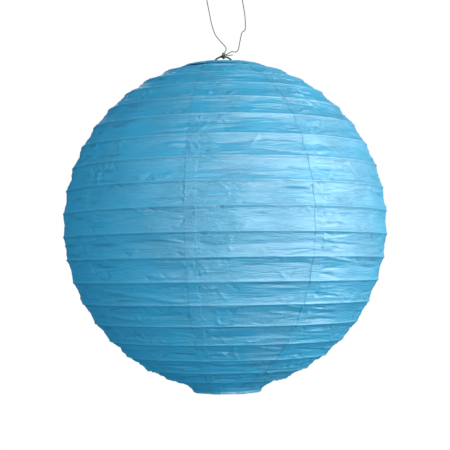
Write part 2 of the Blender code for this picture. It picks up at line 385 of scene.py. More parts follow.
def spin_twine(name, path, diameter, end_taper=0.55):
    """Twine of two plies along the path, closed at both ends, with its groove marked."""
    side, other = carried_frames(path)
    count = len(path)
    run = np.concatenate([[0], np.cumsum(np.linalg.norm(np.diff(path, axis=0), axis=1))])
    around = np.arange(TWINE_SIDES) / TWINE_SIDES * math.tau
    turn = run / PLY_LAY * math.tau
    lobes = np.cos(2 * (around[None, :] - turn[:, None]))
    end = np.minimum(run, run[-1] - run) / (diameter * 0.6)
    narrow = end_taper + (1 - end_taper) * np.sqrt(np.clip(end, 0, 1))
    reach = diameter / 2 * (1 - LOBE + LOBE * lobes) * narrow[:, None]
    rings = (
        path[:, None, :]
        + side[:, None, :] * (reach * np.cos(around))[:, :, None]
        + other[:, None, :] * (reach * np.sin(around))[:, :, None]
    )
    vertices = list(rings.reshape(-1, 3)) + [path[0], path[-1]]
    faces = []
    for ring in range(count - 1):
        for corner in range(TWINE_SIDES):
            after = (corner + 1) % TWINE_SIDES
            base, top = ring * TWINE_SIDES, (ring + 1) * TWINE_SIDES
            faces.append((base + corner, base + after, top + after, top + corner))
    last = (count - 1) * TWINE_SIDES
    for corner in range(TWINE_SIDES):
        after = (corner + 1) % TWINE_SIDES
        faces.append((count * TWINE_SIDES, after, corner))
        faces.append((count * TWINE_SIDES + 1, last + corner, last + after))
    twine = mesh_piece(name, vertices, faces)
    groove = twine.data.attributes.new("groove", "FLOAT", "POINT")
    groove.data.foreach_set("value", np.append(((1 - lobes) / 2).ravel(), [0, 0]))
    layer = twine.data.uv_layers.new(name="along_twine")
    corner_vertices = np.empty(len(twine.data.loops), int)
    twine.data.loops.foreach_get("vertex_index", corner_vertices)
    flat = np.stack([np.tile(around / math.tau, count), np.repeat(run / diameter, TWINE_SIDES)], 1)
    flat = np.vstack([flat, [0, 0], [0, run[-1] / diameter]])
    layer.data.foreach_set("uv", flat[corner_vertices].ravel())
    return twine


hanging_loop = spin_twine("hanging_loop", cord_path, CORD_DIAMETER)
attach(hanging_loop, "cord")
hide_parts("hanging_cord")
print("twine loop:", len(hanging_loop.data.polygons), "faces")

# %% [markdown]
# ## The knot
#
# The loop is tied to the top of the expander's arch. The cord goes three times round the wire,
# crosses over its own turns and is locked with an overhand knot on top, which is a trefoil
# curve. A long tail, still fresh and green, sticks out to the right, and a short one to the
# left. Every part is swept as the cord was, with points given as (along the wire, distance
# from it, turn round it).

# %% Tie the knot
KNOT = Vector((0, 0, (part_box("cord_knot")[0][2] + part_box("cord_knot")[1][2]) / 2))
ARCH_WIRE = 1.8 * MM
KNOT_TWINE = 1.0 * MM


def round_the_wire(points):
    """Turn (along, distance, turns) in millimetres into places round the arch's top."""
    placed = []
    for along, distance, turns in points:
        turn = turns * math.tau
        offset = Vector((along, -distance * math.sin(turn), distance * math.cos(turn))) * MM
        placed.append(tuple(KNOT + offset))
    return placed


def wrapping_turns():
    """Three turns side by side, then two crossing back over them."""
    inner = (ARCH_WIRE + KNOT_TWINE) / 2 / MM + 0.08
    outer = inner + KNOT_TWINE / MM * 0.92
    turns = [(-1.45 + 0.95 * step / 8, inner, 0.15 + step / 8) for step in range(25)]
    crossing = [(1.7, inner + 0.5, 3.3), (1.3, outer, 3.45), (0.3, outer + 0.1, 3.6)]
    crossing += [(-0.6, outer + 0.1, 3.75), (-1.0, outer, 3.95), (-0.7, outer, 4.15)]
    crossing += [(0.1, outer + 0.2, 4.32), (0.9, outer + 0.1, 4.5), (1.2, outer - 0.1, 4.7)]
    return round_the_wire(turns + crossing)


def overhand_loop(centre, size, lean):
    """A closed trefoil, the shape of an overhand knot pulled tight."""
    steps = np.linspace(0, math.tau, 60, endpoint=False)
    x = (np.sin(steps) + 2 * np.sin(2 * steps)) * size
    z = (np.cos(steps) - 2 * np.cos(2 * steps)) * size
    y = -np.sin(3 * steps) * size * 1.1
    turned = Matrix.Rotation(lean, 3, "Y")
    return [tuple(Vector(centre) + turned @ Vector(point)) for point in zip(x, y, z)]


knot_routes = {
    "knot_turns": wrapping_turns(),
    "knot_crown": overhand_loop(KNOT + Vector((0.5, -0.5, 2.5)) * MM, 0.56 * MM, 0.5),
    "long_tail": [
        tuple(KNOT + Vector(point) * MM)
        for point in (
            (0.6, -1.8, 1.2), (1.8, -2.5, 1.3), (3.4, -2.7, 0.9), (5.4, -2.4, 0.7),
            (7.6, -2.0, 1.0), (9.6, -1.7, 1.5), (10.8, -1.6, 1.8),
        )
    ],
    "short_tail": [
        tuple(KNOT + Vector(point) * MM)
        for point in ((-0.6, -1.6, 1.0), (-2.0, -2.3, 0.5), (-3.6, -2.3, -0.4), (-5.6, -1.9, -1.6))
    ],
}
knot_pieces = {}
for piece_name, route in knot_routes.items():
    path, _ = smooth_route(route, 0.28 * MM)
    thickness = KNOT_TWINE * (1.12 if piece_name == "long_tail" else 1.0)
    knot_pieces[piece_name] = spin_twine(piece_name, path, thickness)
    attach(knot_pieces[piece_name], "knot")
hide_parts("cord_knot")
print("knot pieces:", ", ".join(knot_pieces))

# %% [markdown]
# ## Twine finish
#
# Old green twine is brown and dusty where it is dry, and darker and greener where it is tight.
# The grooves between the plies are painted darker as painted shade, fine fibres run along
# each ply, and the colour wanders slowly. The loop, the knot and the fresh tail share this, so
# it is one node group that gives out a colour, a roughness and a height. Shorthands for the
# nodes used most come first.

# %% Shorthands for nodes


def new_group(name, sockets, results):
    """An empty node group with named inputs (kind, name, value) and outputs (kind, name)."""
    group = bpy.data.node_groups.new(name, "ShaderNodeTree")
    for kind, label, value in sockets:
        socket = group.interface.new_socket(label, in_out="INPUT", socket_type=kind)
        if value is not None:
            socket.default_value = value
    for kind, label in results:
        group.interface.new_socket(label, in_out="OUTPUT", socket_type=kind)
    return group, group.nodes.new("NodeGroupInput").outputs


def mix_colours(tree, factor, first, second):
    """A colour mix whose factor and colours are sockets or values."""
    made = add_node(tree, "ShaderNodeMix", data_type="RGBA")
    for place, value in ((0, factor), (6, first), (7, second)):
        if isinstance(value, bpy.types.NodeSocket):
            tree.links.new(value, made.inputs[place])
        else:
            made.inputs[place].default_value = value
    return made.outputs[2]


def calculate(tree, operation, *values, clamp=False):
    """A math node on sockets or numbers."""
    made = add_node(tree, "ShaderNodeMath", operation=operation, use_clamp=clamp)
    for place, value in enumerate(values):
        if isinstance(value, bpy.types.NodeSocket):
            tree.links.new(value, made.inputs[place])
        else:
            made.inputs[place].default_value = value
    return made.outputs[0]


def stretched(tree, vector, scale):
    """The coordinates scaled, so that a pattern is longer one way than the other."""
    return add_node(tree, "ShaderNodeMapping", {"Vector": vector, "Scale": scale}).outputs[0]


def map_range(tree, value, low, high, out_low=0.0, out_high=1.0):
    """A soft step: the first output up to low, the second from high on."""
    made = add_node(tree, "ShaderNodeMapRange", {0: value, 1: low, 2: high, 3: out_low, 4: out_high})
    made.interpolation_type = "SMOOTHSTEP"
    return made.outputs[0]


print("shorthands ready")

# %% [markdown]
# The fibres are a noise stretched along the twine's own coordinates, so they follow every
# bend. The groove comes as a mark on the mesh, from when the twine was spun, and painted shade
# is mixed in along it.

# %% Build the twine group


def build_twine_group():
    """Fibres along the twine, dust where they stand out, painted shade in the grooves between the plies."""
    group, given = new_group(
        "twine_fibres",
        [
            ("NodeSocketVector", "Along", None),
            ("NodeSocketVector", "Place", None),
            ("NodeSocketFloat", "Groove", 0.0),
            ("NodeSocketColor", "Fibre", (0.1, 0.12, 0.08, 1)),
            ("NodeSocketColor", "Groove_shade", (0.02, 0.03, 0.02, 1)),
            ("NodeSocketColor", "Dusty", (0.3, 0.32, 0.25, 1)),
        ],
        [("NodeSocketColor", "Colour"), ("NodeSocketFloat", "Roughness"), ("NodeSocketFloat", "Height")],
    )
    fibre_place = stretched(group, given["Along"], (9.0, 0.9, 1.0))
    fibres = add_node(group, "ShaderNodeTexNoise", {"Vector": fibre_place, "Scale": 3.0, "Detail": 5.0})
    drift = add_node(group, "ShaderNodeTexNoise", {"Vector": given["Place"], "Scale": 120.0})
    strand = map_range(group, fibres.outputs["Fac"], 0.35, 0.7)
    dusty = calculate(group, "MULTIPLY", strand, map_range(group, drift.outputs["Fac"], 0.4, 0.75))
    colour = mix_colours(group, dusty, given["Fibre"], given["Dusty"])
    # Painted shade: the grooves between the plies are mixed towards the groove colour.
    shaded = calculate(group, "POWER", given["Groove"], 1.6)
    colour = mix_colours(group, calculate(group, "MULTIPLY", shaded, 0.85), colour, given["Groove_shade"])
    height = calculate(group, "SUBTRACT", fibres.outputs["Fac"], shaded)
    rough = calculate(group, "MULTIPLY_ADD", fibres.outputs["Fac"], 0.3, 0.55)
    results = {"Colour": colour, "Roughness": rough, "Height": height}
    add_node(group, "NodeGroupOutput", results)
    return group


twine_group = build_twine_group()
print("twine group:", len(twine_group.nodes), "nodes")

# %% Dress the twine
TWINE_COLOURS = {
    # name: fibre, painted shade in the grooves, dusty
    "weathered_twine": ((0.115, 0.098, 0.060, 1), (0.024, 0.021, 0.013, 1), (0.25, 0.22, 0.15, 1)),
    "knot_twine": ((0.030, 0.070, 0.020, 1), (0.006, 0.016, 0.006, 1), (0.16, 0.28, 0.11, 1)),
    "fresh_tail": ((0.12, 0.32, 0.08, 1), (0.03, 0.12, 0.03, 1), (0.34, 0.58, 0.26, 1)),
}


def make_twine_material(name, fibre, groove_shade, dusty):
    """Twine in its fibre colour, its painted shade colour for the grooves and its dusty colour."""
    material, tree = new_material(name)
    along = add_node(tree, "ShaderNodeUVMap", uv_map="along_twine").outputs[0]
    place = add_node(tree, "ShaderNodeTexCoord").outputs["Object"]
    groove = add_node(tree, "ShaderNodeAttribute", attribute_name="groove").outputs["Fac"]
    effect = add_node(tree, "ShaderNodeGroup", node_tree=twine_group)
    for socket, value in (("Along", along), ("Place", place), ("Groove", groove)):
        tree.links.new(value, effect.inputs[socket])
    for socket, value in (("Fibre", fibre), ("Groove_shade", groove_shade), ("Dusty", dusty)):
        effect.inputs[socket].default_value = value
    bumps = {"Height": effect.outputs["Height"], "Strength": 0.6, "Distance": 0.12 * MM}
    bump = add_node(tree, "ShaderNodeBump", bumps)
    surface = {
        "Base Color": effect.outputs["Colour"],
        "Roughness": effect.outputs["Roughness"],
        "Normal": bump.outputs[0],
    }
    shader = add_node(tree, "ShaderNodeBsdfPrincipled", surface)
    shader.inputs["Sheen Weight"].default_value = 0.25
    shader.inputs["Specular IOR Level"].default_value = 0.3
    finish_material(tree, shader)
    return material


twines = {name: make_twine_material(name, *colours) for name, colours in TWINE_COLOURS.items()}
hanging_loop.data.materials.append(twines["weathered_twine"])
for piece_name, piece in knot_pieces.items():
    finish = "fresh_tail" if piece_name == "long_tail" else "knot_twine"
    piece.data.materials.append(twines[finish])
print("twine finishes:", ", ".join(twines))

# %% [markdown]
# ## The hoops
#
# Each rib is a hoop of thin hard wire, closed by a butt weld that leaves a slight swelling. A
# torus gives the hoop, and fattening a few of its faces in edit mode gives the weld. The welds
# are spread round the shade, so that they do not stack up when it folds flat. The hoops keep
# the names and places of the frame's plain ones, and ride on the same bodies.

# %% Bend the hoops
HOOP_STEPS = 144
HOOP_SIDES = 10
WELD_HALF_LENGTH = 1.6 * MM
WELD_SWELL = 0.16  # extra thickness at the weld, as a share of the wire's radius


def only_selected(obj):
    """Select one object and make it active."""
    bpy.ops.object.select_all(action="DESELECT")
    obj.select_set(True)
    bpy.context.view_layer.objects.active = obj


def select_faces(obj, wanted):
    """Select a mesh's faces whose centres pass a test. Object mode before and after."""
    for polygon in obj.data.polygons:
        polygon.select = bool(wanted(polygon.center))
    for edge in obj.data.edges:
        edge.select = False
    for vertex in obj.data.vertices:
        vertex.select = False
    for polygon in obj.data.polygons:
        if polygon.select:
            for index in polygon.vertices:
                obj.data.vertices[index].select = True


def bend_hoop(hoop, weld_turn):
    """A wire hoop with a weld, at its place in the stack."""
    bpy.ops.object.select_all(action="DESELECT")
    bpy.ops.mesh.primitive_torus_add(
        location=(0, 0, hoop.height),
        rotation=(0, 0, weld_turn),
        major_radius=hoop.radius,
        minor_radius=hoop.wire / 2,
        major_segments=HOOP_STEPS,
        minor_segments=HOOP_SIDES,
    )
    wire = bpy.context.object
    reach = max(WELD_HALF_LENGTH, 1.2 * math.pi * hoop.radius / HOOP_STEPS)
    select_faces(wire, lambda centre: centre.x > 0 and abs(centre.y) < reach)
    bpy.ops.object.mode_set(mode="EDIT")
    bpy.ops.transform.shrink_fatten(value=hoop.wire / 2 * WELD_SWELL)
    bpy.ops.object.mode_set(mode="OBJECT")
    bpy.ops.object.transform_apply(location=True, rotation=True, scale=True)
    wire.data.shade_smooth()
    return wire


hoop_pieces = {}
for number, hoop in enumerate(hoops):
    piece = bend_hoop(hoop, number * 2.4)
    piece.name = hoop.name.replace("_ring", "_hoop")
    hoop_pieces[hoop.name] = piece
print(len(hoop_pieces), "hoops,", len(piece.data.polygons), "faces each")

# %% [markdown]
# ## The expander
#
# The expander is three lengths of springy steel wire, gone dark with age. The crossbar spans
# the top rim and rises into the arch that the cord is tied to. Each leg hangs on it by a coiled
# eye, runs down inside the shade and ends in a notch that holds the bottom rim. A bent wire is
# a path with a round section, so each one is a curve with a bevel. Its corners are short arcs,
# because wire bent over a peg never makes a sharp corner, and its ends are slightly rounded.

# %% Measure the expander
arm_height = top_rim.height
arch_radius = KNOT.z - arm_height
seat_reach = (top_rim.wire + ARCH_WIRE) / 2 + 0.3 * MM
LEG_INSET = 7.5 * MM
leg_x = bottom_rim.radius - LEG_INSET
ARCH_FLARE = 3.0 * MM
SEAT_LIP = 1.0 * MM
BEND_RADIUS = 1.5 * MM
EYE_TURNS = 2
EYE_CLEARANCE = 0.4 * MM
LEG_SWEEP = 20 * MM
FOOT_RISE = 12 * MM
FOOT_FLANK = 5.0 * MM
FOOT_TIP = 2.8 * MM
print(f"arch {arch_radius * 1000:.1f} mm high, legs at x = {leg_x * 1000:.1f} mm")

# %% Arcs and rounded corners


def arc(centre, radius, start, end, steps):
    """Points (x, z) on an arc with both ends, angles from +X towards +Z."""
    turns = [start + (end - start) * step / steps for step in range(steps + 1)]
    return [(centre[0] + radius * math.cos(t), centre[1] + radius * math.sin(t)) for t in turns]


def bend_corners(points, radius, steps=6):
    """Round each corner of an open path with an arc."""
    path = [Vector(points[0])]
    for before, corner, after in zip(points, points[1:], points[2:]):
        corner = Vector(corner)
        back = (Vector(before) - corner).normalized()
        ahead = (Vector(after) - corner).normalized()
        half_inner = back.angle(ahead) / 2
        run = radius / math.tan(half_inner)
        centre = corner + (back + ahead).normalized() * radius / math.sin(half_inner)
        first = corner + back * run - centre
        last = corner + ahead * run - centre
        for step in range(steps + 1):
            path.append(centre + first.slerp(last, step / steps) * radius)
    path.append(Vector(points[-1]))
    return path


print("corners are bent to", BEND_RADIUS / MM, "mm")

# %% The crossbar's path


def crossbar_path():
    """From the left seat over the arch to the right seat."""
    flare_x = math.sqrt((arch_radius + ARCH_FLARE) ** 2 - ARCH_FLARE**2)
    touch = math.atan2(ARCH_FLARE, flare_x)
    half = arc((0, arm_height), arch_radius, math.pi / 2, touch, 20)
    flare_centre = (flare_x, arm_height + ARCH_FLARE)
    half += arc(flare_centre, ARCH_FLARE, math.pi + touch, 1.5 * math.pi, 8)[1:]
    seat_start = top_rim.radius - 3 * seat_reach
    seat_depth = seat_reach * 1.03
    for step in range(17):
        share = step / 16
        fall = seat_depth * (1 - math.cos(math.pi * share)) / 2
        half.append((seat_start + 3 * seat_reach * share, arm_height - fall))
    half.append((top_rim.radius + SEAT_LIP, arm_height - seat_depth))
    mirrored = [(-x, z) for x, z in reversed(half[1:])]
    return [(x, 0.0, z) for x, z in mirrored + half]


print("crossbar path:", len(crossbar_path()), "points")

# %% A leg's path


def leg_path(sign):
    """Coiled eye round the arm, long shank, notched foot. The left leg is turned half round."""
    eye_radius = ARCH_WIRE + EYE_CLEARANCE
    eye_length = EYE_TURNS * (ARCH_WIRE + 0.3 * MM)
    steps = EYE_TURNS * 28
    eye = []
    for step in range(steps + 1):
        share = step / steps
        turn = math.tau * EYE_TURNS * (1 - share)
        along = leg_x + eye_length * (share - 0.5)
        around = (-eye_radius * math.cos(turn), arm_height + eye_radius * math.sin(turn))
        eye.append((along, *around))
    notch_x = bottom_rim.radius - seat_reach * 1.02 * math.sqrt(2)
    flank, tip = FOOT_FLANK / math.sqrt(2), FOOT_TIP / math.sqrt(2)
    shank = [
        eye[-1],
        (leg_x + eye_length / 2, -eye_radius, arm_height - BEND_RADIUS * 2),
        (leg_x, 0.0, arm_height - LEG_SWEEP),
        (leg_x, 0.0, bottom_rim.height + FOOT_RISE),
        (notch_x + flank, 0.0, bottom_rim.height + flank),
        (notch_x, 0.0, bottom_rim.height),
        (notch_x + tip, 0.0, bottom_rim.height - tip),
    ]
    path = eye[:-1] + bend_corners(shank, BEND_RADIUS)
    return [(sign * x, sign * y, z) for x, y, z in path]


print("leg path:", len(leg_path(1)), "points")

# %% Bend the wires
WIRE_PATHS = {
    "crossbar_wire": ("expander", "expander_crossbar", crossbar_path()),
    "left_leg_wire": ("left_leg", "expander_leg_left", leg_path(-1)),
    "right_leg_wire": ("right_leg", "expander_leg_right", leg_path(1)),
}


def bend_wire(name, points, diameter):
    """A wire along the points, made as a bevelled curve and turned into a mesh."""
    bpy.ops.object.select_all(action="DESELECT")
    bpy.ops.curve.primitive_nurbs_path_add()
    wire = bpy.context.object
    wire.name = name
    wire.data.splines.clear()
    spline = wire.data.splines.new("POLY")
    spline.points.add(len(points) - 1)
    for place, point in zip(spline.points, points):
        place.co = (*point, 1)
    spline.points[0].radius = spline.points[-1].radius = 0.8
    wire.data.twist_mode = "MINIMUM"
    wire.data.bevel_depth = diameter / 2
    wire.data.bevel_resolution = 4
    wire.data.use_fill_caps = True
    bpy.ops.object.convert(target="MESH")
    wire = bpy.context.object
    bpy.ops.object.mode_set(mode="EDIT")
    bpy.ops.mesh.select_all(action="SELECT")
    bpy.ops.mesh.remove_doubles(threshold=1e-6)
    bpy.ops.mesh.normals_make_consistent(inside=False)
    bpy.ops.object.mode_set(mode="OBJECT")
    bpy.ops.object.shade_smooth_by_angle(angle=math.radians(50))
    return wire


wire_pieces = {}
for wire_name, (body, node, points) in WIRE_PATHS.items():
    wire_pieces[wire_name] = bend_wire(wire_name, points, ARCH_WIRE)
    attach(wire_pieces[wire_name], body)
    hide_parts(node)
print("expander wires:", ", ".join(wire_pieces))

# %% [markdown]
# ## Wire finish
#
# Both wires are drawn steel. Drawing leaves fine lines and a dull shine, and the surface
# tarnishes in darker, rougher patches. One group does this for the dark expander and the
# brighter ribs.

# %% Dress the wires


def build_wire_group():
    """Bright wire with darker tarnish in patches and fine drawn lines."""
    group, given = new_group(
        "drawn_wire",
        [
            ("NodeSocketVector", "Place", None),
            ("NodeSocketColor", "Bright", (0.5, 0.5, 0.5, 1)),
            ("NodeSocketColor", "Tarnish", (0.2, 0.2, 0.2, 1)),
            ("NodeSocketFloat", "Shine", 0.35),
        ],
        [("NodeSocketColor", "Colour"), ("NodeSocketFloat", "Roughness"), ("NodeSocketFloat", "Height")],
    )
    patches = add_node(group, "ShaderNodeTexNoise", {"Vector": given["Place"], "Scale": 160.0, "Detail": 6.0})
    lines = add_node(group, "ShaderNodeTexNoise", {"Vector": given["Place"], "Scale": 2200.0, "Detail": 2.0})
    tarnish = map_range(group, patches.outputs["Fac"], 0.42, 0.68)
    colour = mix_colours(group, tarnish, given["Bright"], given["Tarnish"])
    rough = calculate(group, "MULTIPLY_ADD", tarnish, 0.25, given["Shine"])
    height = calculate(group, "MULTIPLY_ADD", lines.outputs["Fac"], 0.4, tarnish)
    add_node(group, "NodeGroupOutput", {"Colour": colour, "Roughness": rough, "Height": height})
    return group


wire_group = build_wire_group()


def make_wire_material(name, bright, tarnish, shine):
    """Drawn steel in its bright colour, its tarnished colour and its least roughness."""
    material, tree = new_material(name)
    place = add_node(tree, "ShaderNodeTexCoord").outputs["Object"]
    effect = add_node(tree, "ShaderNodeGroup", node_tree=wire_group)
    tree.links.new(place, effect.inputs["Place"])
    effect.inputs["Bright"].default_value = bright
    effect.inputs["Tarnish"].default_value = tarnish
    effect.inputs["Shine"].default_value = shine
    bumps = {"Height": effect.outputs["Height"], "Strength": 0.35, "Distance": 0.05 * MM}
    bump = add_node(tree, "ShaderNodeBump", bumps)
    surface = {
        "Base Color": effect.outputs["Colour"],
        "Roughness": effect.outputs["Roughness"],
        "Metallic": 0.9,
        "Normal": bump.outputs[0],
    }
    finish_material(tree, add_node(tree, "ShaderNodeBsdfPrincipled", surface))
    return material


rib_steel = make_wire_material("rib_steel", (0.33, 0.33, 0.34, 1), (0.14, 0.13, 0.13, 1), 0.42)
expander_steel = make_wire_material("expander_steel", (0.12, 0.14, 0.14, 1), (0.05, 0.06, 0.06, 1), 0.36)
RIM_BODIES = {"top_rim_ring": "expander", "bottom_rim_ring": "bottom_rim"}
for node, piece in hoop_pieces.items():
    body = RIM_BODIES.get(node, node.replace("_ring", ""))
    piece.data.materials.append(rib_steel)
    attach(piece, body)
    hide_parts(node)
for piece in wire_pieces.values():
    piece.data.materials.append(expander_steel)
print("wires dressed")

# %% [markdown]
# ## The paper, planned
#
# A gore is cut flat, laid wet over the hoops and pasted. When it dries it pulls tight on the
# wires and sinks a little between them, so each band is slightly hollow. Handling and folding
# leave sharp creases, mostly level ones, since the shade folds between its ribs. Where bands
# meet ribs and seams, short slanting creases fan out.
#
# A displacement texture could suggest this, but the creases would cross the ribs and would not
# match where one gore laps over the next. A cloth simulation of eight pasted strips would take
# minutes. Instead, one height field is written down for the whole shade, as a function of the
# angle round it and the distance down it, and every gore reads its own part of it.

# %% Lay out the bands
GORE_COUNT = 8
FIRST_SEAM = math.radians(-9.5)  # from the front towards +X
PASTED_STRIP = 10.5 * MM
PAPER = 0.2 * MM
PAPER_OFF_WIRE = 0.3 * MM
HEM = 8 * MM
FINE_ROWS = (0.0, 0.35, 0.9, 1.8)  # rows close to a rib, in millimetres
ROW_STEP = 1.12 * MM
Band = namedtuple("Band", "number upper lower slope_upper slope_lower length radius")


def outward(place):
    """The outward direction (radial, up) square to the shade at a hoop."""
    above, below = hoops[max(place - 1, 0)], hoops[min(place + 1, len(hoops) - 1)]
    run, rise = below.radius - above.radius, below.height - above.height
    return np.array((-rise, run)) / math.hypot(run, rise)


def paper_on_hoop(place):
    hoop = hoops[place]
    return np.array((hoop.radius, hoop.height)) + outward(place) * (hoop.wire / 2 + PAPER_OFF_WIRE)


def lay_out_bands():
    laid = []
    for number in range(len(hoops) - 1):
        upper, lower = paper_on_hoop(number), paper_on_hoop(number + 1)
        length = float(np.linalg.norm(lower - upper))
        radius = float(upper[0] + lower[0]) / 2
        laid.append(Band(number, upper, lower, outward(number), outward(number + 1), length, radius))
    return laid


bands = lay_out_bands()
paper_run = sum(band.length for band in bands)
print(f"{len(bands)} bands, {paper_run * 1000:.0f} mm of paper from rim to rim")

# %% [markdown]
# Each crease is a fold line with a sharp top and hollow flanks, fading at both ends. It is
# stored by its middle, its direction, its length, its width and its height, drawn from a seeded
# generator so that the shade is the same every time. Level creases are long and low. Slanting
# ones start at a rib and come in pairs, like the letter V. Steeper ones sit in patches beside
# the seams, where the paste shrinks the paper.

# %% Place the seams
SEAM_DRIFT = (0.0, -5.5, 2.0, -1.5, 1.0, 3.0, -2.0, 1.5)  # millimetres at the widest hoop
LEVEL_SPACING = 24 * MM  # round the shade, one level crease each
SLANT_SPACING = 40 * MM  # round the shade, one slanting pair each
PLAIN_SEAMS = 0.3  # in each band, the share of seams without a crumpled patch
Crease = namedtuple("Crease", "around down turn half_length width height bow")
dice = np.random.default_rng(41)


def either(low, high):
    """A number from low to high, up or down."""
    return dice.uniform(low, high) * dice.choice((-1, 1))


def seam_angle(seam):
    """A seam's direction. Seams are pasted by eye, so they are not quite even."""
    return FIRST_SEAM + math.tau * seam / GORE_COUNT + SEAM_DRIFT[seam % GORE_COUNT] * MM / widest.radius


seam_turns = [round(math.degrees(seam_angle(seam))) for seam in range(GORE_COUNT)]
print("seams at", seam_turns, "degrees")

# %% [markdown]
# Level creases lie anywhere in a band. Pleats also run level, but they start at a seam, where
# the wet paste pulled the paper in, and they are the deepest of all.

# %% Level creases and pleats


def level_creases(band):
    """Long low folds anywhere in the band."""
    found = []
    for _ in range(int(math.tau * band.radius / LEVEL_SPACING)):
        half = dice.uniform(12, 50) * MM
        width, height = dice.uniform(0.9, 1.6) * MM, either(0.4, 1.2) * MM
        down = dice.uniform(0.12, 0.88) * band.length
        around, lean, bow = dice.uniform(0, math.tau), either(0, 0.08), either(0, 1.8)
        found.append(Crease(around, down, lean, half, width, height, bow))
    return found


def seam_pleats(band):
    """Folds that start at a seam and run level away from it, where the paste pulled."""
    found = []
    for seam in range(GORE_COUNT):
        for side in (-1, 1):
            for _ in range(dice.integers(1, 4)):
                half = dice.uniform(9, 30) * MM
                start = PASTED_STRIP if side < 0 else 0.0
                around = seam_angle(seam) + side * (start + half * 0.9) / band.radius
                width, height = dice.uniform(0.8, 1.4) * MM, either(1.0, 1.8) * MM
                down = dice.uniform(0.1, 0.9) * band.length
                found.append(Crease(around, down, either(0, 0.14), half, width, height, either(0, 1.2)))
    return found


print(f"a level crease every {LEVEL_SPACING / MM:.0f} mm round the shade")

# %% [markdown]
# Folding the shade flat pinches the paper at the ribs, and short creases fan out from there in
# pairs. Beside the seams the paper was pressed down wet and crumpled in patches.

# %% Slanting creases and crumples


def slanting_creases(band):
    """Pairs of short folds that fan out from one point on a rib."""
    found = []
    for _ in range(int(math.tau * band.radius / SLANT_SPACING)):
        around, from_top = dice.uniform(0, math.tau), dice.random() < 0.5
        for lean in (dice.uniform(0.3, 1.1), -dice.uniform(0.3, 1.1)):
            half = dice.uniform(4, 10) * MM
            away = half * abs(math.sin(lean))
            down = away if from_top else band.length - away
            shift = half * math.cos(lean) * (1 if lean > 0 else -1) * (1 if from_top else -1)
            width, height = dice.uniform(0.75, 1.2) * MM, either(0.5, 1.3) * MM
            found.append(Crease(around + shift / band.radius, down, lean, half, width, height, 0.0))
    return found


def crumples(band):
    """Patches of short folds beside some seams, where wet paper was pressed down."""
    found = []
    for seam in range(GORE_COUNT):
        edge = seam_angle(seam)
        if dice.random() < PLAIN_SEAMS:
            continue
        for _ in range(dice.integers(6, 15)):
            beside = dice.uniform(-14, 1) * MM if dice.random() < 0.5 else dice.uniform(1, 34) * MM
            lean = dice.uniform(0.5, 1.9)
            half = dice.uniform(2.5, 7) * MM
            down = dice.uniform(0.15, 0.85) * band.length
            width, height = dice.uniform(0.7, 1.1) * MM, either(0.7, 1.5) * MM
            bow = either(0, 0.8)
            found.append(Crease(edge + beside / band.radius, down, lean, half, width, height, bow))
    return found


print(f"a slanting pair every {SLANT_SPACING / MM:.0f} mm round the shade")

# %% Draw all the creases
band_creases = [
    level_creases(band) + seam_pleats(band) + slanting_creases(band) + crumples(band) for band in bands
]
sag_waves = [(dice.integers(3, 26, 6), dice.uniform(0, math.tau, 6)) for _ in bands]
print(sum(len(found) for found in band_creases), "creases")

# %% [markdown]
# The height field adds three things: the sag between two ribs, which varies round the shade,
# the steep drop beside each wire that the paper hugs, and the creases. Creases fade out at the
# ribs, where the paper is glued, and are weaker on the pasted strips, where it is double and
# stiff. The field also gives out how creased each point is: ridges are painted paler, partly as
# wear and partly as a painted highlight, and valleys are painted darker as painted shade.

# %% Write down the height field
SAG = 1.4 * MM
SAG_SPREAD = 0.35  # how much the sag's depth varies round the shade
STIFF_SEAM = 0.55  # height of creases on a pasted strip, as a share of the rest
GLUED = 1.6 * MM  # distance from a rib in which creases fade out
FULL_MARK_HEIGHT = 0.9 * MM  # a crease this high is fully marked
HUG = 0.7 * MM  # how far the paper drops beside each wire that it hugs
HUG_WIDTH = 1.25 * MM
SOFT_FOLD = 0.06  # how rounded the fold between two ribs is
FULL_BAND = max(band.length for band in bands)


def wrapped(angle):
    """An angle brought to the range from minus to plus half a turn."""
    return (angle + math.pi) % math.tau - math.pi


def seam_distance(angles, radius):
    """Metres from each angle to the nearest seam's line, positive past the seam."""
    nearest = np.full(angles.shape, 1.0)
    for seam in range(GORE_COUNT):
        offset = wrapped(angles - seam_angle(seam)) * radius
        centred = np.abs(offset + PASTED_STRIP / 2) < np.abs(nearest + PASTED_STRIP / 2)
        nearest = np.where(centred, offset, nearest)
    return nearest


front_seam = seam_distance(np.array([0.0]), widest.radius)[0]
print(f"the front is {front_seam * 1000:.0f} mm past the nearest seam")

# %% [markdown]
# A crease is a ridge or a valley with a sharp middle. Its line is slightly bowed and fades at
# both ends. Only the points near it are worked on, which keeps this quick.

# %% Height of the creases


